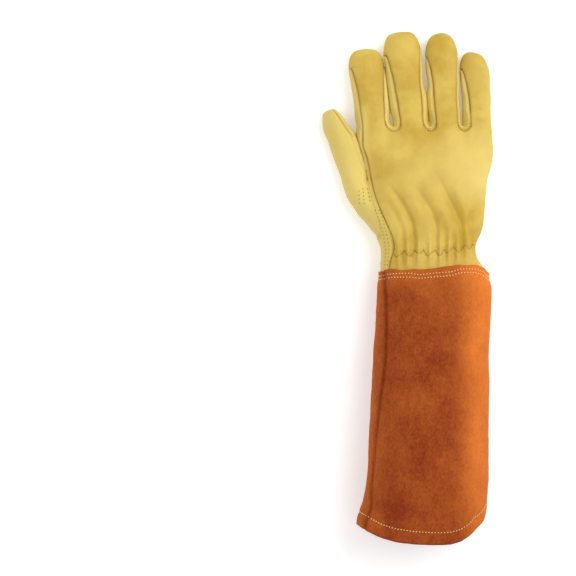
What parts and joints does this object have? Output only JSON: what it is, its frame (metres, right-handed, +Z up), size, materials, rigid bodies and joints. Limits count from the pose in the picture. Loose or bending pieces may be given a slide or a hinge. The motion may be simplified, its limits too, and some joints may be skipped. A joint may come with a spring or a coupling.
{
  "type": "rose pruning gauntlet",
  "caption": "Right-hand gardening glove of soft yellow leather with a long, flared brown suede cuff, lying palm down and empty.",
  "frame": {"origin": "under the middle of the glove's outline, on the floor", "axes": "+Y from the cuff's hem to the fingertips, +X towards the little finger, +Z up from the palm to the back of the hand"},
  "size_m": [0.1502, 0.4534, 0.0824],
  "materials": {
    "leather": "soft grain, slight sheen",
    "suede": "napped suede, matte"
  },
  "bodies": {
    "root": {"back_panel": "leather", "palm_panel": "leather", "middle_front": "leather", "ring_front": "leather", "fourchette_index_middle": "leather", "fourchette_middle_ring": "leather", "fourchette_ring_little": "leather", "thumb": "leather", "cuff_back": "suede", "cuff_palm": "suede"}
  },
  "joints": []
}
